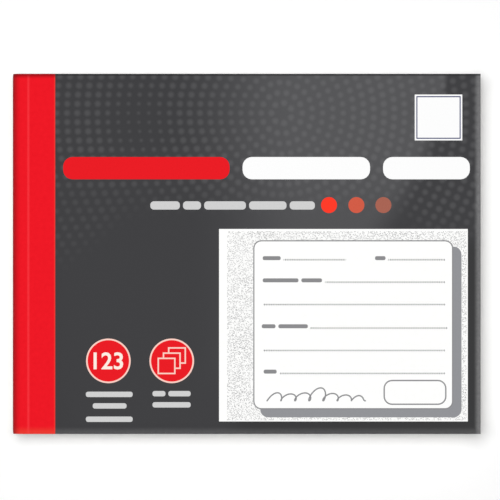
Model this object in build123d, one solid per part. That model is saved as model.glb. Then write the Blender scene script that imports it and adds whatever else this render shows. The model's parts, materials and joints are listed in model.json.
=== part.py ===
from build123d import *
import os

# Duplicate receipt book, landscape, lying on its back cover. Millimetres.
# X runs from the spine to the fore-edge, Y from the tail to the head, and Z up through the leaves.
# The origin is under the middle of the book, on the surface that it lies on.

# The page and the leaves
page_width = 130.0
page_height = 100.0
set_count = 80
leaf_thickness = 0.07
turning_sets = 6

# The card covers
cover_thickness = 0.35
cover_edge_bevel = 0.08

# The cloth tape round the spine
tape_thickness = 0.15
tape_bed = 0.05
tape_on_cover = 11.9
spine_radius = 2.0
glue_thickness = 0.15

# The crease where the covers and the leaves bend, measured from the spine
crease_inset = 4.45
crease_width = 0.8
crease_depth = 0.08

# The two wire stitches through the bound edge
wire_diameter = 0.5
wire_sides = 8
wire_clearance = 0.02
stitch_inset = 2.4
stitch_spacing = 50.0
stitch_crown = 12.0
stitch_tail = 4.5
stitch_bend = 0.6
edge_sections = 8

# The tear-off line of each original leaf, measured from the crease
perforation_inset = 1.0
slit_length = 2.0
slit_width = 0.25
slit_tie = 1.0

# The loose carbon sheet
carbon_width = 120.0
carbon_height = 96.0
carbon_thickness = 0.04
carbon_inset = 2.0

# Places worked out from the sizes above
spine_x = -page_width / 2
fore_edge_x = page_width / 2
crease_x = spine_x + crease_inset
tape_edge_x = spine_x + tape_on_cover
tape_proud = tape_thickness - tape_bed
block_bottom = tape_proud + cover_thickness
block_height = 2 * set_count * leaf_thickness + carbon_thickness
block_top = block_bottom + block_height
book_top = block_top + cover_thickness + tape_proud
leaves_above_carbon = 2 * turning_sets + 1


def slab(x_low, x_high, height, z_low, z_high):
    """A flat rectangular piece, centred on Y."""
    plate = Box(x_high - x_low, height, z_high - z_low, align=(Align.MIN, Align.CENTER, Align.MIN))
    return Pos(x_low, 0, z_low) * plate


def along_spine(section):
    """A section drawn in X and Z, run along the whole height of the page."""
    return extrude(Plane.XZ * section, amount=page_height / 2, both=True)


def layer(z_low, z_high):
    """The part of the bound edge's section between two heights, from the spine to the crease."""
    middle = Pos((spine_x + crease_x) / 2, (z_low + z_high) / 2)
    return middle * Rectangle(crease_inset, z_high - z_low)


def rounded_spine(x_low, z_low, z_high, radius):
    """A section from x_low to the crease whose two corners at the spine are rounded."""
    middle = Pos((x_low + crease_x) / 2, (z_low + z_high) / 2)
    block = middle * Rectangle(crease_x - x_low, z_high - z_low)
    spine_corners = block.vertices().sort_by(Axis.X)[:2]
    return fillet(spine_corners, radius)


def leaf_top(number):
    """The height of a leaf's upper face, counted down from 0 at the front cover."""
    under_carbon = carbon_thickness if number >= leaves_above_carbon else 0.0
    return block_top - number * leaf_thickness - under_carbon


def plain_leaf(number):
    """The free part of a leaf, from the crease to the fore-edge."""
    top = leaf_top(number)
    return slab(crease_x, fore_edge_x, page_height, top - leaf_thickness, top)


def perforation():
    """The row of slits that lets an original leaf tear off beside the crease."""
    pitch = slit_length + slit_tie
    count = int((page_height - slit_tie) / pitch)
    middle = Pos(crease_x + perforation_inset, 0)
    return middle * GridLocations(pitch, pitch, 1, count) * Rectangle(slit_width, slit_length)


def perforated_leaf(number):
    """The free part of an original leaf with its tear-off line."""
    width = fore_edge_x - crease_x
    outline = Pos((crease_x + fore_edge_x) / 2, 0) * Rectangle(width, page_height)
    sheet = extrude(outline - perforation(), amount=leaf_thickness)
    return Pos(0, 0, leaf_top(number) - leaf_thickness) * sheet


def front_cover():
    """The front card beyond the crease, bevelled where it was trimmed and sunk under the tape."""
    outer = block_top + cover_thickness
    card = slab(crease_x, fore_edge_x, page_height, block_top, outer)
    outer_edges = card.faces().sort_by(Axis.Z)[-1].edges()
    trimmed_edges = [edge for edge in outer_edges if edge.center().X > crease_x + crease_width]
    card = chamfer(trimmed_edges, cover_edge_bevel)
    return card - slab(crease_x, tape_edge_x, page_height, outer - tape_bed, outer)


def front_tape_flap():
    """The tape glued to the front cover, from the crease to its visible edge."""
    flap = slab(crease_x, tape_edge_x, page_height, book_top - tape_thickness, book_top)
    return flap - front_crease()


def front_crease():
    """The shallow groove pressed into the tape along the crease."""
    half = crease_width / 2
    groove = make_face(
        Polyline(
            (crease_x - half, book_top),
            (crease_x, book_top - crease_depth),
            (crease_x + half, book_top),
            close=True,
        )
    )
    return along_spine(groove)


def to_back(piece):
    """The same piece turned over onto the back of the book."""
    return mirror(piece, about=Plane.XY.offset(book_top / 2))


def stitch(y_middle, radius):
    """One wire stitch: a crown under the front tape, two legs, and tails bent in at the back."""
    wire_radius = wire_diameter / 2
    crown_z = book_top - tape_thickness - wire_radius
    tail_z = tape_thickness + wire_radius
    near = y_middle - stitch_crown / 2
    far = y_middle + stitch_crown / 2
    route = [
        (near + stitch_tail, tail_z),
        (near, tail_z),
        (near, crown_z),
        (far, crown_z),
        (far, tail_z),
        (far - stitch_tail, tail_z),
    ]
    path = FilletPolyline(*[(spine_x + stitch_inset, y, z) for y, z in route], radius=stitch_bend)
    section = RegularPolygon(radius, wire_sides, major_radius=False, rotation=180 / wire_sides)
    return sweep(Plane(path @ 0, z_dir=path % 0) * section, path)


def both_stitches(radius):
    """The two stitches, evenly either side of the middle."""
    return [stitch(side * stitch_spacing / 2, radius) for side in (-1, 1)]


def pierced(piece):
    """The piece with the holes that the stitches make in it."""
    return piece - both_stitches(wire_diameter / 2 + wire_clearance)


def bound_edge_pieces():
    """The fixed pieces between the spine and the crease, by name."""
    inside = book_top - tape_thickness
    tape_outside = rounded_spine(spine_x, 0, book_top, spine_radius)
    round_inside = spine_radius - tape_thickness
    tape_inside = rounded_spine(spine_x + tape_thickness, tape_thickness, inside, round_inside)
    glued_x = spine_x + tape_thickness + glue_thickness
    glue_inside = rounded_spine(glued_x, tape_thickness, inside, round_inside)

    block_layer = layer(block_bottom, block_top)
    front_edge = along_spine(tape_inside & layer(block_top, inside))
    section_height = block_height / edge_sections
    sections = []
    for number in range(edge_sections):
        low = block_bottom + number * section_height
        section = along_spine(glue_inside & layer(low, low + section_height))
        sections.append(pierced(section))

    tape = along_spine(tape_outside - tape_inside) - front_crease()
    return {
        "spine_tape": [tape - to_back(front_crease())],
        "spine_glue": [along_spine((tape_inside - glue_inside) & block_layer)],
        "front_cover_bound_edge": [pierced(front_edge)],
        "back_cover_bound_edge": [pierced(to_back(front_edge))],
        "bound_leaf_edges": sections,
        "wire_stitches": both_stitches(wire_diameter / 2),
    }


def carbon_sheet():
    """The loose carbon sheet, lying on the duplicate of the set that is in use."""
    low = leaf_top(leaves_above_carbon)
    left = crease_x + carbon_inset
    return slab(left, left + carbon_width, carbon_height, low, low + carbon_thickness)


def leaf_pieces():
    """Each leaf of the sets that turn and of the set in use, then the sets still unused, by name."""
    pieces = {}
    sets_apart = turning_sets + 1
    for number in range(sets_apart):
        pieces[f"receipt_original_{number + 1:02d}"] = [perforated_leaf(2 * number)]
        pieces[f"receipt_duplicate_{number + 1:02d}"] = [plain_leaf(2 * number + 1)]
    unused = range(sets_apart, set_count)
    span = f"{sets_apart + 1:02d}_to_{set_count:02d}"
    pieces[f"receipt_originals_{span}"] = [plain_leaf(2 * number) for number in unused]
    pieces[f"receipt_duplicates_{span}"] = [plain_leaf(2 * number + 1) for number in unused]
    return pieces


def all_pieces():
    """Every node of the book, by name, each as a list of separate solids."""
    cover = front_cover()
    flap = front_tape_flap()
    return {
        "front_cover": [cover],
        "back_cover": [to_back(cover)],
        "front_tape_flap": [flap],
        "back_tape_flap": [to_back(flap)],
        "carbon_sheet": [carbon_sheet()],
        **bound_edge_pieces(),
        **leaf_pieces(),
    }


os.makedirs("parts", exist_ok=True)
for name, solids in all_pieces().items():
    export_step(Compound(children=solids) if len(solids) > 1 else solids[0], f"parts/{name}.step")
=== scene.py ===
import json
import math
import random

import bpy
import numpy
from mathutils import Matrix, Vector
from mathutils.geometry import delaunay_2d_cdt

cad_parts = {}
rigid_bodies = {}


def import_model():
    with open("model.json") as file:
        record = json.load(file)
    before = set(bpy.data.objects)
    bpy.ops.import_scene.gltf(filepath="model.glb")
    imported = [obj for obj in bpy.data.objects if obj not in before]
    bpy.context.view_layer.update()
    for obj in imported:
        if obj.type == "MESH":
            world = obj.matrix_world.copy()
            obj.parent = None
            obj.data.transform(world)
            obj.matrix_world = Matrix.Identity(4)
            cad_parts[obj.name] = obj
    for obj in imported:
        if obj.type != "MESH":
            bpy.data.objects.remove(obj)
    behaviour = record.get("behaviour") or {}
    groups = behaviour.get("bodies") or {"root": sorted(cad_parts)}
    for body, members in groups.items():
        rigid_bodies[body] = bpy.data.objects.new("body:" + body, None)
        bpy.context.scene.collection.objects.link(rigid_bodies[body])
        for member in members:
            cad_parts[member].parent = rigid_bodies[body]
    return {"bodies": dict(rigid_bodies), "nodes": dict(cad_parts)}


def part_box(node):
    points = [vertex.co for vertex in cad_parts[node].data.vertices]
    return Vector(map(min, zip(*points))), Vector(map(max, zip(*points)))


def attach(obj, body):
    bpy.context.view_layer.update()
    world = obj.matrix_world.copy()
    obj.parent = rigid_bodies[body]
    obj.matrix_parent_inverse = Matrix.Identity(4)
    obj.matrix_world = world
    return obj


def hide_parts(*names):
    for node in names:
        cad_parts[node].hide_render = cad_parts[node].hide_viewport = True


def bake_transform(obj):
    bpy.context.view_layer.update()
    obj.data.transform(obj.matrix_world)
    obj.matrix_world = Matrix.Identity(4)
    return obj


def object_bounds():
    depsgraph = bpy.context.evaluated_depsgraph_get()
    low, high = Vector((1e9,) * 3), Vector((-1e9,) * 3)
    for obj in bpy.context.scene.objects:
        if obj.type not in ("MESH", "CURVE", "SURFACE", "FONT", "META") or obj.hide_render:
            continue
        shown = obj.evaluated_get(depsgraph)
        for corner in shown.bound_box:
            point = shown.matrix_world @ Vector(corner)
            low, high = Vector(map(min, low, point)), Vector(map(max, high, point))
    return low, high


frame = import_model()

cad_low, cad_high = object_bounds()

# The book lies on its back cover, spine to the left. Places on a page or cover are in
# millimetres from its spine edge and its tail edge, and are turned into metres at the end.
MM = 0.001
SPINE_X, TAIL_Y = cad_low.x, cad_low.y
PAGE_WIDTH = (cad_high.x - cad_low.x) / MM
PAGE_HEIGHT = (cad_high.y - cad_low.y) / MM
BOOK_HEIGHT = cad_high.z / MM
CREASE = (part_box("front_cover")[0].x - SPINE_X) / MM
TAPE_EDGE = (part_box("front_tape_flap")[1].x - SPINE_X) / MM
TAPE_THICKNESS = (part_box("front_tape_flap")[1].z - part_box("front_tape_flap")[0].z) / MM

# The tape: its round at the spine, the groove pressed in at a crease, how far its ends and its
# edge on the cover are pressed down, and the most of its thickness that this may take.
SPINE_RADIUS = 2.0
SPINE_ARC_STEPS, SPINE_BACK_STEPS = 12, 4
CREASE_HALF_WIDTH, CREASE_DEPTH = 0.4, 0.08
TAPE_END_ROLL, TAPE_END_ROUND = 0.10, 0.08
TAPE_EDGE_ROUND = 0.05
TAPE_MOST_SUNK = 0.85
TAPE_STEPS = 24
THREAD_PITCH = 0.32

# The card is sunk under the tape, between these two distances from the tape's edge.
TAPE_BED = 0.06
BED_STARTS, BED_ENDS = 0.05, 0.2

# A trimmed edge is rolled down over RIM_WIDTH and rounded off over EDGE_WIDTH.
RIM_WIDTH, EDGE_WIDTH = 1.8, 0.3
RIM_DEPTHS = (0.12, EDGE_WIDTH, 0.6, 1.0, 1.4, RIM_WIDTH)
COVER_ROLL, COVER_ROUND = 0.16, 0.10

# How far past the crease a sheet's fold lines reach, and in how many steps.
COVER_FOLD, COVER_FOLD_STEPS = 0.6, 12
LEAF_FOLD, LEAF_FOLD_STEPS = 10.0, 28

# The map that the prints follow, the angle in degrees from which an edge is sharp, the distance
# within which two points are one, and the kind of an outline that is cut out.
UV_NAME, UV_SCALE = "PrintMap", 100.0
SHARP_ANGLE = 32
JOIN_DISTANCE = 1e-5
CUT = "slit"

# The colour sockets of a Mix node, by their order.
MIX_A, MIX_B, MIX_RESULT = 6, 7, 2

TURN = 2 * math.pi
scene = bpy.context.scene
draw = random.Random(7)


def linear(red, green, blue):
    """Shader colour of a colour given in screen values from 0 to 255."""
    shares = [value / 255 for value in (red, green, blue)]
    return tuple(s / 12.92 if s <= 0.04045 else ((s + 0.055) / 1.055) ** 2.4 for s in shares)


def shade(colour, factor):
    """A colour made lighter or darker."""
    return tuple(min(1.0, part * factor) for part in colour)


class Look:
    """A node material whose patterns follow the print map, so they stay put when a sheet bends.
    A rigid solid isn't printed, and its patterns follow its own millimetres."""

    def __init__(self, name, roughness, specular, printed=True):
        self.material = bpy.data.materials.new(name)
        self.material.use_nodes = True
        self.tree = self.material.node_tree
        self.shader = self.tree.nodes["Principled BSDF"]
        self.roughness(roughness)
        self.feed(self.shader.inputs["Specular IOR Level"], specular)
        if printed:
            place = self.node("ShaderNodeUVMap", uv_map=UV_NAME).outputs["UV"]
        else:
            place = self.node("ShaderNodeTexCoord").outputs["Object"]
        scaled = self.node("ShaderNodeVectorMath", operation="SCALE")
        self.feed(scaled.inputs[0], place)
        self.feed(scaled.inputs["Scale"], UV_SCALE if printed else 1 / MM)
        self.place = scaled.outputs[0]
        parts = self.node("ShaderNodeSeparateXYZ")
        self.feed(parts.inputs[0], self.place)
        self.x, self.y = parts.outputs[0], parts.outputs[1]

    def node(self, kind, **settings):
        """A new node with these settings."""
        made = self.tree.nodes.new(kind)
        for key, value in settings.items():
            setattr(made, key, value)
        return made

    def feed(self, socket, value):
        """Gives a socket a constant, or the output of another node."""
        if isinstance(value, bpy.types.NodeSocket):
            self.tree.links.new(value, socket)
        else:
            socket.default_value = value

    def math(self, operation, a, b=0.0, c=0.0):
        """The result of a maths node."""
        made = self.node("ShaderNodeMath", operation=operation)
        for socket, value in zip(made.inputs, (a, b, c)):
            self.feed(socket, value)
        return made.outputs[0]

    def times(self, a, b):
        return self.math("MULTIPLY", a, b)

    def minus(self, a, b):
        return self.math("SUBTRACT", a, b)

    def spread(self, share, low, high):
        """A share from 0 to 1, spread over the values from low to high."""
        return self.math("MULTIPLY_ADD", share, high - low, low)

    def distance(self, across, along):
        """How far off a place is that lies this far across and along."""
        squares = [self.times(part, part) for part in (across, along)]
        return self.math("SQRT", self.math("ADD", *squares))

    def step(self, zero_at, one_at, value):
        """A smooth change from 0, where the value is zero_at, to 1, where it is one_at."""
        made = self.node("ShaderNodeMapRange", interpolation_type="SMOOTHSTEP")
        self.feed(made.inputs["Value"], value)
        self.feed(made.inputs["From Min"], zero_at)
        self.feed(made.inputs["From Max"], one_at)
        return made.outputs["Result"]

    def mix(self, share, a, b):
        """The colour that lies this share of the way from a to b."""
        made = self.node("ShaderNodeMix", data_type="RGBA")
        self.feed(made.inputs["Factor"], share)
        for number, colour in ((MIX_A, a), (MIX_B, b)):
            self.feed(made.inputs[number], (*colour, 1) if isinstance(colour, tuple) else colour)
        return made.outputs[MIX_RESULT]

    def noise(self, size, detail=3.0, stretch=None):
        """Noise between 0 and 1 with features of about this size in millimetres."""
        place = self.place
        if stretch:
            stretched = self.node("ShaderNodeVectorMath", operation="MULTIPLY")
            self.feed(stretched.inputs[0], self.place)
            self.feed(stretched.inputs[1], stretch)
            place = stretched.outputs[0]
        made = self.node("ShaderNodeTexNoise")
        self.feed(made.inputs["Vector"], place)
        self.feed(made.inputs["Scale"], 1 / size)
        self.feed(made.inputs["Detail"], detail)
        return made.outputs["Fac"]

    def bump(self, height, strength, depth):
        """Fine relief. depth is in millimetres."""
        made = self.node("ShaderNodeBump")
        self.feed(made.inputs["Strength"], strength)
        self.feed(made.inputs["Distance"], depth * MM)
        self.feed(made.inputs["Height"], height)
        self.feed(self.shader.inputs["Normal"], made.outputs[0])

    def colour(self, value):
        self.feed(self.shader.inputs["Base Color"], value)

    def roughness(self, value):
        self.feed(self.shader.inputs["Roughness"], value)


def card_look(name, smooth, rough):
    """Coated card before its colour: a fine tooth, and a gloss between two roughnesses."""
    look = Look(name, roughness=rough, specular=0.2)
    look.bump(look.noise(size=0.25), strength=0.3, depth=0.02)
    look.roughness(look.spread(look.noise(size=3.0), smooth, rough))
    return look


def paper_look(name):
    """Uncoated paper before its colour, with its fine felt."""
    look = Look(name, roughness=0.85, specular=0.15)
    look.bump(look.noise(size=0.18, detail=4.0), strength=0.10, depth=0.01)
    return look


def ink(name, colour, mottle=0.06):
    """Solid ink on coated card, slightly uneven."""
    look = card_look(name, smooth=0.45, rough=0.6)
    uneven = look.noise(size=0.5)
    look.colour(look.mix(uneven, shade(colour, 1 - mottle), shade(colour, 1 + mottle)))
    return look.material


GREY = linear(63, 63, 65)
GREY_LIT = linear(86, 86, 88)
GREY_DIM = linear(82, 82, 84)
GREY_LOW = linear(57, 57, 58)
DOT_LIGHT = linear(160, 160, 162)
DOT_SHARE = 0.098


def wedge_ground(look):
    """The front's dark grey, lower down a little darker, and on it a soft light wedge from the
    head, whose right side is slanted, bowed, and softer further down."""
    x, y = look.x, look.y
    head, right, slant, bow = 97.9, 120.3, 0.16, 0.0070
    softness, softening, lean = 0.9, 0.13, -4.5

    below = look.minus(head, y)
    slanted = look.minus(right, look.times(below, slant))
    side = look.minus(slanted, look.times(look.times(below, below), bow))
    soft = look.math("MULTIPLY_ADD", look.math("MAXIMUM", below, 0.0), softening, softness)
    beyond = look.math("DIVIDE", look.minus(x, side), soft)
    nearer_tail = look.step(82.0, 62.0, y)
    dawn = look.step(44.0, 80.0, look.math("MULTIPLY_ADD", nearer_tail, lean, x))
    wedge = look.times(dawn, look.step(1.0, -1.0, beyond))

    low_corner = look.times(look.step(56.0, 66.0, x), look.step(56.0, 50.0, y))
    ground = look.mix(low_corner, GREY, GREY_LOW)
    return look.mix(wedge, ground, look.mix(nearer_tail, GREY_LIT, GREY_DIM))


def dot_fade(look):
    """How strongly the front's dots show. They fade at a line that dips towards both sides."""
    x, y = look.x, look.y
    level, spine_dip, fore_edge_dip, weakest = 62.0, -16.0, -8.0, 0.55
    line = look.math("ADD", level, look.times(look.step(38.0, 12.0, x), spine_dip))
    line = look.math("ADD", line, look.times(look.step(104.0, 118.0, x), fore_edge_dip))
    shown = look.step(-3.0, 9.0, look.minus(y, line))
    low_left = look.times(look.step(72.0, 66.0, y), look.step(46.0, 30.0, x))
    return look.times(shown, look.spread(low_left, 1.0, weakest))


def halftone(look):
    """Where the front's faint dots are. They stand in rings, each with dots_more dots more than
    the ring inside it, swell in waves, and shrink round one place, the lull."""
    centre_x, centre_y = 74.8, 89.1
    ring_pitch, dots_more = 2.84, 7.0
    dot_pitch = TURN * ring_pitch / dots_more
    dot_radius, swell, swell_pitch = 0.80, 0.07, 27.0
    lull_x, lull_y, lull_shrink = 35.0, 86.0, 0.36

    along = look.minus(look.y, centre_y)
    radius = look.distance(look.minus(look.x, centre_x), along)
    rings = look.math("DIVIDE", radius, ring_pitch)
    ring = look.math("MAXIMUM", look.math("ROUND", rings), 1.0)
    angle = look.math("ARCTAN2", along, look.minus(centre_x, look.x))
    dots = look.times(look.math("DIVIDE", angle, TURN), look.times(ring, dots_more))
    off_ring = look.times(look.minus(rings, ring), ring_pitch)
    # Half a dot on, and enough whole ones to be positive, gives how far off the nearest dot is.
    part = look.math("FRACT", look.math("ADD", dots, 500.5))
    off_dot = look.times(look.minus(part, 0.5), dot_pitch)

    wave = look.math("COSINE", look.times(radius, TURN / swell_pitch))
    size = look.math("MULTIPLY_ADD", wave, swell, dot_radius)
    off_lull = look.distance(look.minus(look.x, lull_x), look.minus(look.y, lull_y))
    size = look.minus(size, look.times(look.step(14.0, 3.0, off_lull), lull_shrink))
    edge = look.minus(look.distance(off_ring, off_dot), size)
    return look.times(look.step(0.5, -0.6, edge), dot_fade(look))


def painted_edge_light_and_flecks(look, ground):
    """The front's ground with a painted highlight along the fore-edge and tail, painted shade
    along the head, and dark flecks.
    """
    tail_highlight_share, head_shade_share, fleck_share = 0.28, 0.8, 0.10
    # Painted highlight along the fore-edge and the tail, broken up by noise.
    tail_highlight = look.times(look.step(2.2, 0.5, look.y), tail_highlight_share)
    edge_highlight = look.math("MAXIMUM", look.step(128.0, 129.5, look.x), tail_highlight)
    edge_noise = look.spread(look.noise(size=0.9, detail=4.0), 0.22, 0.62)
    ground = look.mix(look.times(edge_highlight, edge_noise), ground, linear(160, 160, 161))
    # Painted shade along the head.
    head_shade = look.times(look.step(99.2, 99.8, look.y), head_shade_share)
    ground = look.mix(head_shade, ground, linear(40, 40, 41))
    fleck = look.times(look.noise(size=0.5), fleck_share)
    return look.mix(fleck, ground, linear(40, 40, 42))


def cover_print():
    """The front's dark grey ground: a light wedge, rings of halftone dots, a painted highlight
    along the fore-edge and tail, and painted shade along the head.
    """
    look = card_look("cover_ground", smooth=0.4, rough=0.52)
    dots = look.times(halftone(look), DOT_SHARE)
    look.colour(painted_edge_light_and_flecks(look, look.mix(dots, wedge_ground(look), DOT_LIGHT)))
    return look.material


def back_print():
    """The plain dark grey outside of the back cover, rubbed at its edges."""
    look = card_look("back_ground", smooth=0.4, rough=0.52)
    cloud_share = 0.25
    fleck = look.noise(size=0.5)
    ground = look.mix(fleck, linear(61, 61, 63), linear(69, 69, 71))
    cloud = look.times(look.noise(size=25.0, detail=2.0), cloud_share)
    ground = look.mix(cloud, ground, linear(78, 78, 80))
    edge = look.math("MAXIMUM", look.step(128.6, 130.0, look.x), look.step(1.2, 0.0, look.y))
    edge = look.math("MAXIMUM", edge, look.step(98.8, 100.0, look.y))
    edge_noise = look.spread(look.noise(size=0.9, detail=4.0), 0.1, 0.6)
    look.colour(look.mix(look.times(edge, edge_noise), ground, linear(140, 140, 141)))
    return look.material


def paper_colour(look, colour):
    """A paper's colour with a faint cloudy formation."""
    cloud = look.noise(size=1.6, detail=4.0)
    return look.mix(cloud, shade(colour, 0.975), shade(colour, 1.025))


def paper(name, colour):
    """Plain receipt paper."""
    look = paper_look(name)
    look.colour(paper_colour(look, colour))
    return look.material


def speckled(name, colour, scale):
    """Form paper under a fine grey stipple. scale is the picture's size beside a real page."""
    look = paper_look(name)
    grain_size, grain_share, patch_size = 0.62 * scale, 0.60, 14.0 * scale
    cells = look.node("ShaderNodeTexVoronoi", feature="F1", voronoi_dimensions="2D")
    look.feed(cells.inputs["Vector"], look.place)
    look.feed(cells.inputs["Scale"], 1 / grain_size)
    parts = look.node("ShaderNodeSeparateColor")
    look.feed(parts.inputs[0], cells.outputs["Color"])
    some = look.math("LESS_THAN", parts.outputs[0], grain_share)
    grain = look.times(some, look.step(0.5, 0.22, cells.outputs["Distance"]))
    share = look.times(grain, look.spread(look.noise(patch_size, detail=2.0), 0.35, 1.05))
    look.colour(look.mix(share, paper_colour(look, colour), linear(128, 128, 130)))
    return look.material


def dotted(name, colour, pitch, start):
    """A leader of small grey dots along X, with the gap between two dots at start."""
    look = paper_look(name)
    pitches = look.math("DIVIDE", look.minus(look.x, start), pitch)
    off = look.math("ABSOLUTE", look.minus(look.math("FRACT", pitches), 0.5))
    dot = look.step(0.24, 0.19, off)
    look.colour(look.mix(dot, paper_colour(look, colour), linear(64, 64, 67)))
    return look.material


def board(name, printed=True):
    """The grey-white uncoated side and core of the cover card."""
    look = Look(name, roughness=0.9, specular=0.1, printed=printed)
    fibre_share = 0.35
    cloud = look.noise(size=2.2, detail=4.0)
    base = look.mix(cloud, linear(196, 194, 188), linear(212, 210, 204))
    fibre = look.step(0.62, 0.72, look.noise(size=0.5, detail=2.0, stretch=(1, 2.6, 1)))
    look.colour(look.mix(look.times(fibre, fibre_share), base, linear(160, 157, 150)))
    look.bump(look.noise(size=0.3, detail=4.0), strength=0.25, depth=0.02)
    return look.material


def tape_look():
    """Red coated cloth tape: a fine weave, painted highlights at the crease, along its edge on the
    cover and at the tail, and painted shade at the head and over the spine's round.
    """
    look = Look("binding_tape", roughness=0.6, specular=0.06)
    x, y = look.x, look.y
    red = look.mix(look.noise(size=1.2), linear(234, 21, 34), linear(245, 27, 40))
    # A painted highlight along the crease, broken up by noise.
    crease = look.step(0.5, 0.1, look.math("ABSOLUTE", look.minus(x, CREASE)))
    crease_highlight = look.times(crease, look.spread(look.noise(size=1.5), 0.45, 0.95))
    red = look.mix(crease_highlight, red, linear(252, 56, 65))
    edge = look.step(TAPE_EDGE - 0.5, TAPE_EDGE, x)
    tail = look.step(2.4, 0.2, y)
    head = look.step(98.5, 99.9, y)
    rounded = look.step(2.6, -0.4, x)
    # Painted highlights along the edge on the cover and at the tail; painted shade at the head and
    # over the spine's round.
    for place, share, colour in (
        (edge, 0.45, linear(250, 84, 62)),
        (tail, 0.55, linear(235, 76, 58)),
        (head, 0.75, linear(120, 14, 20)),
        (rounded, 0.62, linear(122, 14, 18)),
    ):
        red = look.mix(look.times(place, share), red, colour)
    look.colour(red)

    thread_turn, unevenness = TURN / THREAD_PITCH, 1.5
    warp = look.math("SINE", look.times(x, thread_turn))
    weft = look.math("SINE", look.times(y, thread_turn))
    uneven = look.noise(size=0.6)
    relief = look.math("MULTIPLY_ADD", uneven, unevenness, look.times(warp, weft))
    look.bump(relief, strength=0.7, depth=0.036)
    return look.material


def leaf_edges():
    """The cut edges of many leaves: fine lines, each a little lighter or darker than the next."""
    look = Look("leaf_edges", roughness=0.9, specular=0.1)
    band_share, line_share = 0.5, 0.6
    lines = look.noise(size=0.16, detail=2.0, stretch=(0.02, 1, 1))
    bands = look.noise(size=0.9, detail=2.0, stretch=(0.03, 1, 1))
    share = look.math("MULTIPLY_ADD", bands, band_share, look.times(lines, line_share))
    look.colour(look.mix(share, linear(222, 220, 215), linear(252, 251, 248)))
    look.bump(lines, strength=0.4, depth=0.03)
    return look.material


def carbon_look():
    """Blue-black carbon coating with a dull waxy bloom, paler streaks and a slight crinkle."""
    look = Look("carbon_coating", roughness=0.4, specular=0.35)
    bloom_share, streak_share, crinkle_height = 0.6, 0.4, 12.0
    bloom = look.noise(size=6.0, detail=4.0)
    streak = look.noise(size=1.4, stretch=(0.15, 1, 1))
    share = look.math("MULTIPLY_ADD", bloom, bloom_share, look.times(streak, streak_share))
    look.colour(look.mix(share, linear(18, 20, 38), linear(42, 46, 76)))
    crinkle, grain = look.noise(size=9.0, detail=2.0), look.noise(size=0.3)
    relief = look.math("MULTIPLY_ADD", crinkle, crinkle_height, grain)
    look.bump(relief, strength=0.5, depth=0.02)
    return look.material


def steel_look():
    """Galvanised stitching wire."""
    look = Look("stitch_wire", roughness=0.35, specular=0.5, printed=False)
    look.feed(look.shader.inputs["Metallic"], 1.0)
    spangle = look.noise(size=0.8)
    look.colour(look.mix(spangle, linear(170, 170, 172), linear(206, 206, 208)))
    return look.material


def glue_look():
    """Dry padding glue."""
    look = Look("binding_glue", roughness=0.5, specular=0.3, printed=False)
    cloud = look.noise(size=1.5)
    look.colour(look.mix(cloud, linear(222, 214, 190), linear(240, 235, 218)))
    return look.material


# The cover's picture of a form is a page at this scale, with its lower left corner here.
PICTURE_SCALE = 0.5312
PICTURE_LEFT, PICTURE_LOW = 57.38, 3.48
PICTURE_HEIGHT = 100.6

LOOKS = {
    "ground": cover_print(),
    "back_ground": back_print(),
    "white": ink("white_ink", linear(250, 250, 250), mottle=0.02),
    "red": ink("red_ink", linear(231, 24, 33)),
    "pale": ink("pale_ink", linear(206, 206, 206)),
    "cream": ink("cream_ink", linear(250, 208, 196), mottle=0.03),
    "pale_cream": ink("pale_cream_ink", linear(250, 236, 225), mottle=0.03),
    "navy": ink("navy_ink", linear(44, 52, 104)),
    "dot_1": ink("dot_bright", linear(255, 57, 38)),
    "dot_2": ink("dot_middle", linear(207, 90, 68)),
    "dot_3": ink("dot_dull", linear(166, 98, 82)),
    "form_grey": ink("form_grey", linear(145, 146, 150)),
    "form_line": ink("form_line", linear(138, 138, 140)),
    "numeral": ink("numeral_ink", linear(196, 34, 40)),
    "board": board("card_board"),
    "bound_board": board("bound_card_board", printed=False),
    "tape": tape_look(),
    "leaf_edges": leaf_edges(),
    "carbon": carbon_look(),
    "steel": steel_look(),
    "glue": glue_look(),
}

# Each paper: its kind, its name, its white and the one under the stipple, its scale, and its
# leaders' pitch and start.
PAPERS = (
    ("picture", "picture", (252, 252, 251), (250, 250, 249), PICTURE_SCALE, 0.6478, 74.206),
    ("paper", "receipt", (248, 248, 245), (248, 248, 245), 1.0, 1.05, CREASE),
    ("thin_paper", "duplicate", (247, 245, 238), (247, 245, 238), 1.0, 1.05, CREASE),
)
for kind, name, white, under_stipple, scale, pitch, start in PAPERS:
    LOOKS[kind] = paper(f"{name}_paper", linear(*white))
    LOOKS[f"{kind}_speckle"] = speckled(f"{name}_speckle", linear(*under_stipple), scale)
    LOOKS[f"{kind}_dotted"] = dotted(f"{name}_dotted", linear(*white), pitch, start)


def box(left, low, right, high):
    """Outline of a rectangle."""
    return [(left, low), (right, low), (right, high), (left, high)]


def inset(sides, width):
    """The four sides of a rectangle, each moved inwards."""
    left, low, right, high = sides
    return left + width, low + width, right - width, high - width


def spaced(start, length, steps):
    """Values from start on, over a length, in even steps."""
    return [start + length * number / steps for number in range(steps + 1)]


def arc(x, y, radius, start, sweep, steps):
    """Points on an arc, from the angle start on, in degrees."""
    angles = [math.radians(angle) for angle in spaced(start, sweep, steps)]
    return [(x + radius * math.cos(angle), y + radius * math.sin(angle)) for angle in angles]


def rounded_box(left, low, right, high, radius, steps=6):
    """Outline of a rectangle with round corners."""
    x0, y0, x1, y1 = inset((left, low, right, high), radius)
    outline = []
    for x, y, start in ((x1, y1, 0), (x0, y1, 90), (x0, y0, 180), (x1, y0, 270)):
        outline += arc(x, y, radius, start, 90, steps)
    return outline


def framed_box(sides, radius, width, line, filling):
    """A box with round corners: a line of this width round a filling."""
    inner = rounded_box(*inset(sides, width), radius - width)
    return [(rounded_box(*sides, radius), line), (inner, filling)]


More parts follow.
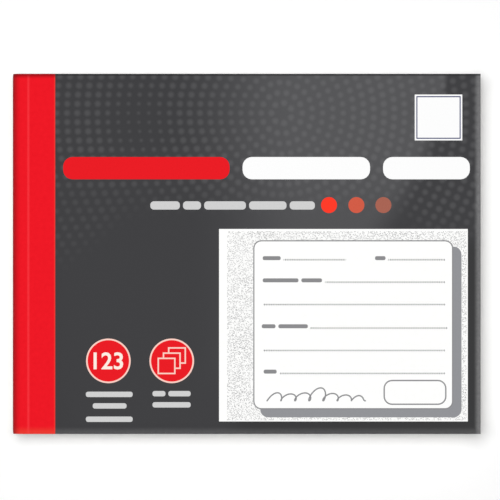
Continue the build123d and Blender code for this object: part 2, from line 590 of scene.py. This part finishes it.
def bar(left, low, right, high):
    """A bar with round ends."""
    roundness = 0.42
    return rounded_box(left, low, right, high, (high - low) * roundness, steps=5)


def disc(x, y, radius, steps=56):
    """Outline of a circle."""
    return arc(x, y, radius, 0, 360, steps)[:-1]


def stroke(points, width, kind):
    """A pen line along points, as a chain of short overlapping strips."""
    overlap = 0.3 * width
    shapes = []
    for here, there in zip(points, points[1:]):
        a, b = Vector(here), Vector(there)
        direction = (b - a).normalized()
        ahead = direction * overlap
        aside = direction.orthogonal() * (width / 2)
        a, b = a - ahead, b + ahead
        corners = (a - aside, b - aside, b + aside, a + aside)
        shapes.append(([tuple(corner) for corner in corners], kind))
    return shapes


def numerals(digits, x, y, height, weight, kind):
    """Plain numerals centred at a place, as filled outlines. weight thickens their strokes."""
    curve = bpy.data.curves.new("numerals", "FONT")
    curve.body = digits
    curve.resolution_u = 3
    curve.offset = weight
    holder = bpy.data.objects.new("numerals", curve)
    mesh = bpy.data.meshes.new_from_object(holder)
    places = numpy.array([tuple(vertex.co.xy) for vertex in mesh.vertices])
    low, high = places.min(axis=0), places.max(axis=0)
    points = (x, y) + (places - (low + high) / 2) * (height / (high[1] - low[1]))
    shapes = [(points[list(face.vertices)].tolist(), kind) for face in mesh.polygons]
    bpy.data.batch_remove((holder, curve, mesh))
    return shapes


def flourish(left, right, low):
    """A pen line of slanted loops, every third one taller, which swell and die away."""
    loops, steps = 7, 24
    height, lower_share, slope, reach = 3.4, 0.62, 0.35, 1.9
    first_swell, swell_power = 0.08, 0.6
    points = []
    for step in range(loops * steps + 1):
        turn = TURN * step / steps
        share = step / (loops * steps)
        swelling = min(1.0, first_swell + share * (1 - first_swell))
        swell = math.sin(math.pi * swelling) ** swell_power
        tallness = 1.0 if step // steps % 3 == 0 else lower_share
        lift = height * swell * (1 - math.cos(turn)) * tallness
        lean = slope * lift - reach * swell * math.sin(turn)
        points.append((left + (right - left) * share + lean, low + lift))
    return points


# The form on a page, in page millimetres. Each rule has its level, left and right, and each
# label its left, low side and right.
STIPPLE_MARGIN = 0.6
FORM_SHADOW = (21.5, 2.15, 126.7, 91.4)
FORM_CARD, FORM_CARD_LINE, FORM_CARD_RADIUS = (17.88, 6.35, 122.35, 94.72), 0.62, 4.2
SUM_BOX, SUM_BOX_LINE, SUM_BOX_RADIUS = (85.94, 8.64, 118.86, 21.76), 0.72, 4.46
FORM_RULES = (
    (84.5, 33.6, 66.3),
    (84.5, 88.4, 118.5),
    (72.8, 55.5, 118.2),
    (61.1, 22.8, 118.2),
    (48.8, 47.7, 119.2),
    (37.1, 22.8, 118.2),
    (25.1, 31.7, 118.2),
)
LABEL_HEIGHT = 2.1
FORM_LABELS = (
    (22.8, 84.3, 32.2),
    (81.5, 84.3, 87.0),
    (22.8, 72.7, 41.5),
    (43.0, 72.7, 53.8),
    (22.3, 48.7, 29.5),
    (31.0, 48.7, 46.4),
    (23.3, 25.0, 30.1),
)
PEN_LEFT, PEN_RIGHT, PEN_LOW, PEN_WIDTH = 25.0, 76.5, 10.8, 0.7
NUMBER_X, NUMBER_Y, NUMBER_HEIGHT, NUMBER_WEIGHT = 103.5, 87.4, 3.6, 0.01


def form(stock, stipple_from, rule_height, number=None):
    """The receipt form in page millimetres: a stippled page with a ruled card on it."""
    margin, line = STIPPLE_MARGIN, "form_line"
    stipple = box(stipple_from, margin, PAGE_WIDTH - margin, PAGE_HEIGHT - margin)
    shapes = [(stipple, stock + "_speckle")]
    shapes.append((rounded_box(*FORM_SHADOW, FORM_CARD_RADIUS), "form_grey"))
    shapes += framed_box(FORM_CARD, FORM_CARD_RADIUS, FORM_CARD_LINE, line, stock)
    for y, left, right in FORM_RULES:
        rule = box(left, y - rule_height / 2, right, y + rule_height / 2)
        shapes.append((rule, stock + "_dotted"))
    for left, low, right in FORM_LABELS:
        shapes.append((bar(left, low, right, low + LABEL_HEIGHT), line))
    shapes += stroke(flourish(PEN_LEFT, PEN_RIGHT, PEN_LOW), PEN_WIDTH, line)
    shapes += framed_box(SUM_BOX, SUM_BOX_RADIUS, SUM_BOX_LINE, line, stock)
    if number is not None:
        digits = f"{number:02d}"
        shapes += numerals(digits, NUMBER_X, NUMBER_Y, NUMBER_HEIGHT, NUMBER_WEIGHT, "numeral")
    return shapes


def cover_bars():
    """The wide bars on the front, and under them a line of small ones that ends in three dots."""
    wide_low, wide_high = 70.7, 76.9
    shapes = []
    for left, right, kind in ((14.1, 60.3, "red"), (63.9, 99.3, "white"), (102.9, 127.0, "white")):
        shapes.append((bar(left, wide_low, right, wide_high), kind))
    left, gap, small_low, small_high = 38.3, 0.87, 62.3, 64.6
    for width in (8.2, 5.0, 11.6, 10.4, 7.0):
        shapes.append((bar(left, small_low, left + width, small_high), "pale"))
        left += width + gap
    dot_y, dot_radius = 63.55, 2.22
    for x, kind in ((87.9, "dot_1"), (95.5, "dot_2"), (103.0, "dot_3")):
        shapes.append((disc(x, dot_y, dot_radius, steps=40), kind))
    return shapes


def cover_plate():
    """The bare white plate on the front, with a fine navy frame."""
    plate = (111.7, 81.5, 124.9, 94.24)
    layers = ((0.0, "white"), (0.45, "navy"), (0.75, "white"))
    return [(box(*inset(plate, depth)), kind) for depth, kind in layers]


def cover_badges():
    """The two round badges on the front, with numerals and a stack of sheets, and their bars."""
    numerals_x, sheets_x, middle, radius, ring = 26.65, 44.25, 20.3, 6.2, 0.45
    shapes = []
    for x in (numerals_x, sheets_x):
        shapes.append((disc(x, middle, radius), "cream"))
        shapes.append((disc(x, middle, radius - ring), "red"))
    shapes += numerals("123", numerals_x, middle, 4.8, 0.017, "pale_cream")
    sheet, shift, line = (40.3, 16.6, 45.3, 21.2), 1.45, 0.4
    for step in (2, 1, 0):
        sides = [side + shift * step for side in sheet]
        shapes.append((box(*sides), "cream"))
        shapes.append((box(*inset(sides, line)), "red"))
    bar_half_height = 0.75
    for left, y, right in (
        (20.4, 11.0, 33.4),
        (22.3, 7.8, 31.7),
        (20.4, 4.1, 33.4),
        (38.9, 11.2, 42.5),
        (43.3, 11.2, 49.5),
        (38.9, 8.1, 49.5),
    ):
        shapes.append((bar(left, y - bar_half_height, right, y + bar_half_height), "pale"))
    return shapes


def cover_picture():
    """The picture of a form on the front."""
    stipple_from, rule_height = 4.2, 0.84
    page = [(box(0, 0, PAGE_WIDTH, PICTURE_HEIGHT), "picture")]
    shapes = []
    for outline, kind in page + form("picture", stipple_from, rule_height):
        placed = [
            (PICTURE_LEFT + x * PICTURE_SCALE, PICTURE_LOW + y * PICTURE_SCALE) for x, y in outline
        ]
        shapes.append((placed, kind))
    return shapes


def lie_inside(outline, centres):
    """Which of these points lie inside an outline."""
    corners = numpy.array(outline)
    x, y = centres[:, 0], centres[:, 1]
    inside = numpy.zeros(len(centres), bool)
    for (x0, y0), (x1, y1) in zip(corners, numpy.roll(corners, -1, axis=0)):
        if y0 != y1:
            crossed = (y0 > y) != (y1 > y)
            inside ^= crossed & (x < (x1 - x0) * (y - y0) / (y1 - y0) + x0)
    return inside


def divided(shapes, lines):
    """Divides flat outlines, each over those before it, into triangles with the kind of the top
    one, along these lines too. What the kind CUT covers is left open."""
    points, edges = [], []
    chains = [(outline, 0) for outline, _ in shapes] + [(line, 1) for line in lines]
    for chain, gaps in chains:
        first, count = len(points), len(chain)
        points.extend(Vector(point) for point in chain)
        edges.extend((first + n, first + (n + 1) % count) for n in range(count - gaps))
    places, _, faces, _, _, _ = delaunay_2d_cdt(points, edges, [], 0, JOIN_DISTANCE)
    flat = numpy.array([tuple(place) for place in places])
    centres = flat[numpy.array(faces)].mean(axis=1)
    on_top = numpy.full(len(faces), -1)
    for number, (outline, _) in enumerate(shapes):
        low, high = numpy.min(outline, axis=0), numpy.max(outline, axis=0)
        near = numpy.flatnonzero(((centres >= low) & (centres <= high)).all(axis=1))
        on_top[near[lie_inside(outline, centres[near])]] = number
    kept = [(face, shapes[number][1]) for face, number in zip(faces, on_top) if number >= 0]
    return places, [row for row in kept if row[1] != CUT]


class Build:
    """A mesh while it grows: corners in millimetres, and faces with their kind and print map."""

    def __init__(self):
        self.vertices, self.polygons, self.kinds, self.uvs = [], [], [], []

    def face(self, polygon, kind, uvs):
        """Adds a face, given by the numbers of its corners."""
        self.polygons.append(polygon)
        self.kinds.append(kind)
        self.uvs.extend(uvs)

    def sheet(self, shapes, lines, front, back, under, edge, drop=None, down=False):
        """Adds a thin sheet between two heights with its print on the front one.
        drop(x, y) is how far the print is sunk there, and down has the print underneath."""
        places, faces = divided(shapes, lines)
        used = sorted({index for face, _ in faces for index in face})
        order = {old: new for new, old in enumerate(used)}
        flat = [places[old] for old in used]
        first, count = len(self.vertices), len(flat)
        sign = 1 if down else -1
        for p in flat:
            self.vertices.append((p.x, p.y, front + sign * (drop(p.x, p.y) if drop else 0.0)))
        self.vertices += [(p.x, p.y, back) for p in flat]

        def add(polygon, kind, wall):
            polygon = polygon[::-1] if down else polygon
            corners = [self.vertices[first + index] for index in polygon]
            uvs = [(x + y, z) if wall else (x, y) for x, y, z in corners]
            self.face([first + index for index in polygon], kind, uvs)

        border = {}
        for face, kind in faces:
            loop = [order[index] for index in face]
            for a, b in zip(loop, loop[1:] + loop[:1]):
                if border.pop((b, a), None) is None:
                    border[(a, b)] = True
            add(loop, kind, False)
            add([index + count for index in reversed(loop)], under, False)
        for a, b in border:
            add([b, a, a + count, b + count], edge, True)

    def finish(self, name):
        """The mesh object, with smooth faces and sharp edges."""
        mesh = bpy.data.meshes.new(name)
        metres = [(SPINE_X + x * MM, TAIL_Y + y * MM, z * MM) for x, y, z in self.vertices]
        mesh.from_pydata(metres, [], self.polygons)
        kinds = sorted(set(self.kinds))
        for kind in kinds:
            mesh.materials.append(LOOKS[kind])
        mesh.polygons.foreach_set("material_index", [kinds.index(kind) for kind in self.kinds])
        layer = mesh.uv_layers.new(name=UV_NAME)
        layer.data.foreach_set("uv", [part / UV_SCALE for place in self.uvs for part in place])
        mesh.shade_smooth()
        mesh.set_sharp_from_angle(angle=math.radians(SHARP_ANGLE))
        mesh.update()
        piece = bpy.data.objects.new(name, mesh)
        scene.collection.objects.link(piece)
        return piece


def across(x):
    """A point on the page's middle line at x millimetres from the spine, for a fold's ends."""
    return (SPINE_X + x * MM, 0.0, 0.0)


def settle(piece, node, body, fold=None):
    """Puts a piece in place of its CAD node. fold is how far past the crease the far end of its
    bend lies; a piece with one keeps its place in its own mesh, and any other joins its body.
    """
    if fold:
        # The ends are ordered so that the turn from the first to the second is about +Y.
        ends = [("receipt_block", across(CREASE)), (body, across(CREASE + fold))]
        if body != "back_cover":
            ends.reverse()
        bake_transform(piece)
    else:
        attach(piece, body)
    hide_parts(node)


def heights(node):
    """The lowest and highest level of a CAD node, in millimetres."""
    low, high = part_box(node)
    return low.z / MM, high.z / MM


def fold_lines(length, count, low, high):
    """Lines across a sheet, from low to high, over this length past the crease."""
    return [[(x, low), (x, high)] for x in spaced(CREASE, length, count)[1:]]


def rim_lines():
    """Lines that follow a cover's three cut edges, for the rim that is rolled down."""
    return [box(CREASE, depth, PAGE_WIDTH - depth, PAGE_HEIGHT - depth) for depth in RIM_DEPTHS]


def edge_drop(inside, roll, rounding):
    """How far a trimmed edge is pressed down this far inside it, in millimetres."""
    rolled = max(0.0, 1 - inside / RIM_WIDTH) ** 2 * roll
    rounded = max(0.0, 1 - inside / EDGE_WIDTH) ** 2 * rounding
    return rolled + rounded


def cover(name, node, shapes, ground, down):
    """A cover card beyond the crease, with fold lines past it. Its body has its node's name."""
    low, high = heights(node)
    outline = [(box(CREASE, 0.0, PAGE_WIDTH, PAGE_HEIGHT), ground)]
    under_tape = [(box(CREASE, 0.0, TAPE_EDGE - BED_ENDS, PAGE_HEIGHT), ground)]
    lines = rim_lines() + fold_lines(COVER_FOLD, COVER_FOLD_STEPS, 0.0, PAGE_HEIGHT)
    lines.append([(TAPE_EDGE - BED_STARTS, 0.0), (TAPE_EDGE - BED_STARTS, PAGE_HEIGHT)])
    front, back = (low, high) if down else (high, low)

    def drop(x, y):
        if x < TAPE_EDGE - (BED_STARTS + BED_ENDS) / 2:
            return TAPE_BED
        return edge_drop(min(PAGE_WIDTH - x, y, PAGE_HEIGHT - y), COVER_ROLL, COVER_ROUND)

    build = Build()
    build.sheet(outline + under_tape + shapes, lines, front, back, "board", "board", drop, down)
    settle(build.finish(name), node, node, COVER_FOLD)


front_print = cover_bars() + cover_plate() + cover_badges() + cover_picture()
cover("front_cover_card", "front_cover", front_print, "ground", False)
cover("back_cover_card", "back_cover", [], "back_ground", True)


def tape_stations():
    """Places along the spine, closer together at the head and the tail."""
    near = [0.0, *RIM_DEPTHS]
    middle = spaced(RIM_WIDTH, PAGE_HEIGHT - 2 * RIM_WIDTH, TAPE_STEPS)[1:-1]
    return near + middle + [PAGE_HEIGHT - depth for depth in reversed(near)]


def tape_strip(name, outer, inner, along):
    """Tape that follows a section, given as points (x, z) on its two faces, up the whole spine.
    along gives each point's distance from the spine, measured over the tape, for its pattern."""
    stations = tape_stations()
    count = len(outer)
    build = Build()
    places = []
    for y in stations:
        sink = edge_drop(min(y, PAGE_HEIGHT - y), TAPE_END_ROLL, TAPE_END_ROUND)
        for (x, z), (inner_x, inner_z) in zip(outer, inner):
            thickness = math.hypot(inner_x - x, inner_z - z)
            share = min(TAPE_MOST_SUNK, sink / thickness)
            build.vertices.append((x + (inner_x - x) * share, y, z + (inner_z - z) * share))
        build.vertices += [(x, y, z) for x, z in inner]
        places += [(u, y) for u in along] * 2

    def add(polygon):
        build.face(polygon, "tape", [places[index] for index in polygon])

    row = 2 * count
    ring = [*range(count), *reversed(range(count, row))]
    for station in range(len(stations) - 1):
        here, there = station * row, (station + 1) * row
        for a, b in zip(ring, ring[1:] + ring[:1]):
            add([here + a, here + b, there + b, there + a])
    for number in range(count - 1):
        add([number, number + count, number + count + 1, number + 1])
        top = (len(stations) - 1) * row + number
        add([top, top + 1, top + count + 1, top + count])
    return build.finish(name)


def groove(x):
    """How deep the groove at a crease is, in millimetres."""
    return max(0.0, 1 - abs(x - CREASE) / CREASE_HALF_WIDTH) * CREASE_DEPTH


def flap(name, node, body, down):
    """The tape on a cover, from the crease to its edge."""
    low, high = heights(node)
    outer_z, inner_z = (low, high) if down else (high, low)
    sign = 1 if down else -1
    xs = spaced(CREASE, COVER_FOLD, COVER_FOLD_STEPS)
    xs += [CREASE + distance for distance in (2.5, 5.0)]
    xs += [TAPE_EDGE - distance for distance in (EDGE_WIDTH, EDGE_WIDTH / 3, 0.0)]
    outer = []
    for x in xs:
        drop = groove(x) + edge_drop(TAPE_EDGE - x, 0.0, TAPE_EDGE_ROUND)
        outer.append((x, outer_z + sign * drop))
    inner = [(x, inner_z) for x in xs]
    if down:
        outer, inner, xs = outer[::-1], inner[::-1], xs[::-1]
    settle(tape_strip(name, outer, inner, xs), node, body, COVER_FOLD)


def spine_section(depth):
    """Points (x, z) round the spine, this deep in the tape, from the front to the back crease."""
    radius = SPINE_RADIUS - depth
    low, high = depth, BOOK_HEIGHT - depth
    back_low, back_high = low + radius, high - radius
    by_crease = [CREASE, CREASE - CREASE_HALF_WIDTH / 2, CREASE - CREASE_HALF_WIDTH]
    back = spaced(back_high, back_low - back_high, SPINE_BACK_STEPS)
    points = [(x, high) for x in by_crease]
    points += arc(SPINE_RADIUS, back_high, radius, 90, 90, SPINE_ARC_STEPS)
    points += [(depth, z) for z in back[1:-1]]
    points += arc(SPINE_RADIUS, back_low, radius, 180, 90, SPINE_ARC_STEPS)
    return points + [(x, low) for x in reversed(by_crease)]


def spine_tape():
    """The tape round the spine between the two creases."""
    outer, inner = spine_section(0.0), spine_section(TAPE_THICKNESS)
    sunk = [(x, z - groove(x) if z > BOOK_HEIGHT / 2 else z + groove(x)) for x, z in outer]
    along = [CREASE]
    for (x, z), (next_x, next_z) in zip(outer, outer[1:]):
        along.append(along[-1] - math.hypot(next_x - x, next_z - z))
    piece = tape_strip("spine_binding_tape", sunk[::-1], inner[::-1], along[::-1])
    settle(piece, "spine_tape", "receipt_block")


flap("front_tape", "front_tape_flap", "front_cover", False)
flap("back_tape", "back_tape_flap", "back_cover", True)
spine_tape()
# The floor beside and under the spine stays white, with no red glow from the tape.
for name in ("front_tape", "back_tape", "spine_binding_tape"):
    bpy.data.objects[name].visible_diffuse = False

# The leaves: the originals' paper, how much of its level's height a leaf takes up, how unevenly
# it is cut, where the stipple starts beyond the crease, and the height of a leader's dots.
LEAF_NODES = sorted(name for name in frame["nodes"] if name.startswith("receipt_"))
ORIGINAL_STOCK = "paper"
LEAF_SHARE = 0.94
LEAST_TRIM, TRIM_SPREAD, TRIM_SKEW = 0.02, 0.10, 0.02
TRIM_DRIFT, TRIM_DRIFT_RATE = 0.03, 1.7
LEAF_STIPPLE_INSET, LEAF_RULE_HEIGHT = 2.2, 0.5


def leaf_levels(node):
    """The top of each leaf in a node, from the lowest up, and a leaf's thickness."""
    vertices = frame["nodes"][node].data.vertices
    levels = sorted({round(vertex.co.z / MM, 3) for vertex in vertices})
    return levels[1::2], levels[1] - levels[0]


def leaf_trims():
    """How each leaf was cut, by the level of its top: its tail, fore-edge, head and skew."""
    trims = {}
    for top in sorted({top for node in LEAF_NODES for top in leaf_levels(node)[0]}):
        drift = TRIM_DRIFT + TRIM_DRIFT * math.sin(top * TRIM_DRIFT_RATE)
        tail = LEAST_TRIM + draw.uniform(0.0, TRIM_SPREAD)
        fore_edge = PAGE_WIDTH - LEAST_TRIM - drift - draw.uniform(0.0, TRIM_SPREAD)
        head = PAGE_HEIGHT - LEAST_TRIM - draw.uniform(0.0, TRIM_SPREAD)
        trims[top] = (tail, fore_edge, head, draw.uniform(-TRIM_SKEW, TRIM_SKEW))
    return trims


TRIMS = leaf_trims()
PERFORATION_INSET = 1.0
SLIT_LENGTH, SLIT_TIE, SLIT_WIDTH = 2.0, 1.0, 0.25


def leaf_outline(top):
    """The outline of a leaf beyond the crease, as it was cut."""
    tail, fore_edge, head, skew = TRIMS[top]
    return [(CREASE, tail), (fore_edge + skew, tail), (fore_edge - skew, head), (CREASE, head)]


def slits():
    """The tear-off line of an original leaf."""
    pitch = SLIT_LENGTH + SLIT_TIE
    count = int((PAGE_HEIGHT - SLIT_TIE) / pitch)
    start = PAGE_HEIGHT / 2 - (count - 1) / 2 * pitch
    x, half_width, half_length = CREASE + PERFORATION_INSET, SLIT_WIDTH / 2, SLIT_LENGTH / 2
    shapes = []
    for number in range(count):
        y = start + number * pitch
        slit = box(x - half_width, y - half_length, x + half_width, y + half_length)
        shapes.append((slit, CUT))
    return shapes


def leaf(node, number, stock, body=None):
    """One printed leaf beyond the crease. body is the leaf's own where it turns."""
    low, high = heights(node)
    top = leaf_levels(node)[0][0]
    tail, _, head, _ = TRIMS[top]
    shapes = [(leaf_outline(top), stock)]
    shapes += form(stock, CREASE + LEAF_STIPPLE_INSET, LEAF_RULE_HEIGHT, number)
    if stock == ORIGINAL_STOCK:
        shapes += slits()
    bends = fold_lines(LEAF_FOLD, LEAF_FOLD_STEPS, tail, head) if body else []
    build = Build()
    build.sheet(shapes, bends, high, low, stock, "leaf_edges")
    piece = build.finish(node.replace("receipt_", "") + "_leaf")
    settle(piece, node, body or "receipt_block", LEAF_FOLD if body else None)


def unused_leaves(node, stock):
    """The leaves under the set in use, each cut a little differently at its three free edges."""
    tops, thickness = leaf_levels(node)
    build = Build()
    for top in tops:
        shapes = [(leaf_outline(top), stock)]
        build.sheet(shapes, [], top, top - thickness * LEAF_SHARE, stock, "leaf_edges")
    piece = build.finish(node.replace("receipt_", "unused_"))
    settle(piece, node, "receipt_block")


for node in LEAF_NODES:
    _, kind, number, *last = node.split("_")
    stock = ORIGINAL_STOCK if kind.startswith("original") else "thin_paper"
    if last:
        unused_leaves(node, stock)
    else:
        own_body = f"{kind}_{number}"
        leaf(node, int(number), stock, own_body if own_body in frame["bodies"] else None)

STITCH_X, STITCH_LEGS = 2.4, ((19.0, 31.0), (69.0, 81.0))
STITCH_TAIL, STITCH_BEND, STITCH_WIRE, STITCH_HOLE = 4.5, 0.6, 0.5, 0.27


def stitch_cuts(low, high):
    """The holes that the stitches make in a leaf between two heights."""
    wire_low, wire_high = heights("wire_stitches")
    crown_low, tail_high = wire_high - STITCH_WIRE, wire_low + STITCH_WIRE
    shapes = []
    for near, far in STITCH_LEGS:
        runs = [(near, near), (far, far)]
        if high > crown_low:
            runs = [(near, far)]
        elif low < tail_high:
            runs = [(near, near + STITCH_TAIL), (far - STITCH_TAIL, far)]
        elif high > crown_low - STITCH_BEND or low < tail_high + STITCH_BEND:
            runs = [(near, near + STITCH_BEND), (far - STITCH_BEND, far)]
        for start, end in runs:
            hole = inset((STITCH_X, start, STITCH_X, end), -STITCH_HOLE)
            shapes.append((box(*hole), CUT))
    return shapes


def spine_edge(z):
    """Where the leaves meet the glue at a height, which rounds off towards both covers."""
    straight = (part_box("bound_leaf_edges")[0].x - SPINE_X) / MM
    radius = SPINE_RADIUS - TAPE_THICKNESS
    off = max(SPINE_RADIUS - z, z - (BOOK_HEIGHT - SPINE_RADIUS), 0.0)
    return straight + radius - math.sqrt(radius ** 2 - off ** 2)


def bound_leaves():
    """The bound edge of every leaf, in line with its free part and pierced by the stitches."""
    thickness = leaf_levels(LEAF_NODES[0])[1]
    build = Build()
    for top, (tail, _, head, _) in TRIMS.items():
        low = top - thickness * LEAF_SHARE
        shapes = [(box(spine_edge(top - thickness / 2), tail, CREASE, head), "paper")]
        build.sheet(shapes + stitch_cuts(low, top), [], top, low, "paper", "leaf_edges")
    settle(build.finish("bound_leaves"), "bound_leaf_edges", "receipt_block")


bound_leaves()


def carbon():
    """The carbon sheet, its corners clipped round."""
    corner_radius, corner_steps = 1.5, 8
    low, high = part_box("carbon_sheet")
    left, right = (low.x - SPINE_X) / MM, (high.x - SPINE_X) / MM
    tail, head = (low.y - TAIL_Y) / MM, (high.y - TAIL_Y) / MM
    build = Build()
    outline = rounded_box(left, tail, right, head, corner_radius, corner_steps)
    build.sheet([(outline, "carbon")], [], high.z / MM, low.z / MM, "carbon", "carbon")
    settle(build.finish("carbon_paper"), "carbon_sheet", "carbon")


carbon()


# The CAD nodes that show as they are, with a better material.
for node, kind in (
    ("front_cover_bound_edge", "bound_board"),
    ("back_cover_bound_edge", "bound_board"),
    ("spine_glue", "glue"),
    ("wire_stitches", "steel"),
):
    for slot in frame["nodes"][node].material_slots:
        slot.material = LOOKS[kind]

# The set, in metres. The floor is a little below the book, for an opened back cover to lie on.
FLOOR_Z, FLOOR_REACH = -0.00066, 3.0
WHITE = (1, 1, 1, 1)
FLOOR_LOOK = {
    "Base Color": (0.92, 0.92, 0.92, 1),
    "Roughness": 0.9,
    "Specular IOR Level": 0.0,
    "Emission Color": WHITE,
    "Emission Strength": 0.075,
}


def floor():
    """A large flat white floor."""
    mesh = bpy.data.meshes.new("floor")
    outline = box(-FLOOR_REACH, -FLOOR_REACH, FLOOR_REACH, FLOOR_REACH)
    mesh.from_pydata([(x, y, FLOOR_Z) for x, y in outline], [], [[0, 1, 2, 3]])
    material = bpy.data.materials.new("floor_white")
    material.use_nodes = True
    for socket, value in FLOOR_LOOK.items():
        material.node_tree.nodes["Principled BSDF"].inputs[socket].default_value = value
    mesh.materials.append(material)
    piece = bpy.data.objects.new("floor", mesh)
    scene.collection.objects.link(piece)
    return piece


def softbox(name, place, size, power, glossy=False, pieces=None):
    """A square studio light aimed at the origin. pieces are the only ones that it lights."""
    lamp = bpy.data.lights.new(name, "AREA")
    lamp.shape = "SQUARE"
    lamp.size = size
    lamp.energy = power
    holder = bpy.data.objects.new(name, lamp)
    holder.location = place
    holder.rotation_euler = (-Vector(place)).to_track_quat("-Z", "Y").to_euler()
    holder.visible_glossy = glossy
    if pieces:
        holder.light_linking.receiver_collection = pieces
    scene.collection.objects.link(holder)


LEAF_WORDS = ("original", "duplicate", "leaves")
book_pieces = bpy.data.collections.new("book_pieces")
leaf_pieces = bpy.data.collections.new("leaf_pieces")
for piece in scene.objects:
    if piece.type == "MESH":
        book_pieces.objects.link(piece)
        if any(word in piece.name for word in LEAF_WORDS):
            leaf_pieces.objects.link(piece)
ground = bpy.data.collections.new("ground")
ground.objects.link(floor())

# The key stands a little towards the spine and the head. A fill lights the book alone, and two
# low ones light the leaves alone, so that their edges stay as pale as paper.
KEY_PLACE, KEY_SIZE = (-0.103, 0.103, 1.1), 0.6
LEAF_FILL = {"size": 0.5, "power": 3.5, "pieces": leaf_pieces}
softbox("key", KEY_PLACE, KEY_SIZE, power=10.6)
softbox("floor_key", KEY_PLACE, KEY_SIZE, power=1.55, pieces=ground)
softbox("fill", (0.55, -0.5, 1.0), size=0.5, power=2.2, glossy=True, pieces=book_pieces)
softbox("leaf_fill_right", (0.9, -0.9, 0.35), **LEAF_FILL)
softbox("leaf_fill_left", (-0.9, 0.9, 0.35), **LEAF_FILL)

SKY_STRENGTH = 0.13
world = bpy.data.worlds.new("studio")
scene.world = world
world.use_nodes = True
sky = world.node_tree.nodes["Background"].inputs
sky["Color"].default_value = WHITE
sky["Strength"].default_value = SKY_STRENGTH

# The camera looks straight down and takes in a square of this width at the cover.
FRAME_WIDTH = 0.1388
AIM_X, AIM_Y = 0.00097, 0.00108
lens = bpy.data.cameras.new("camera")
lens.lens = 240.0
lens.sensor_width = 36.0
lens.clip_start, lens.clip_end = 0.01, 10.0
camera = bpy.data.objects.new("camera", lens)
cover_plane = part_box("front_cover")[1].z
camera.location = (AIM_X, AIM_Y, cover_plane + FRAME_WIDTH * lens.lens / lens.sensor_width)
scene.collection.objects.link(camera)
scene.camera = camera
scene.view_settings.view_transform = "Standard"
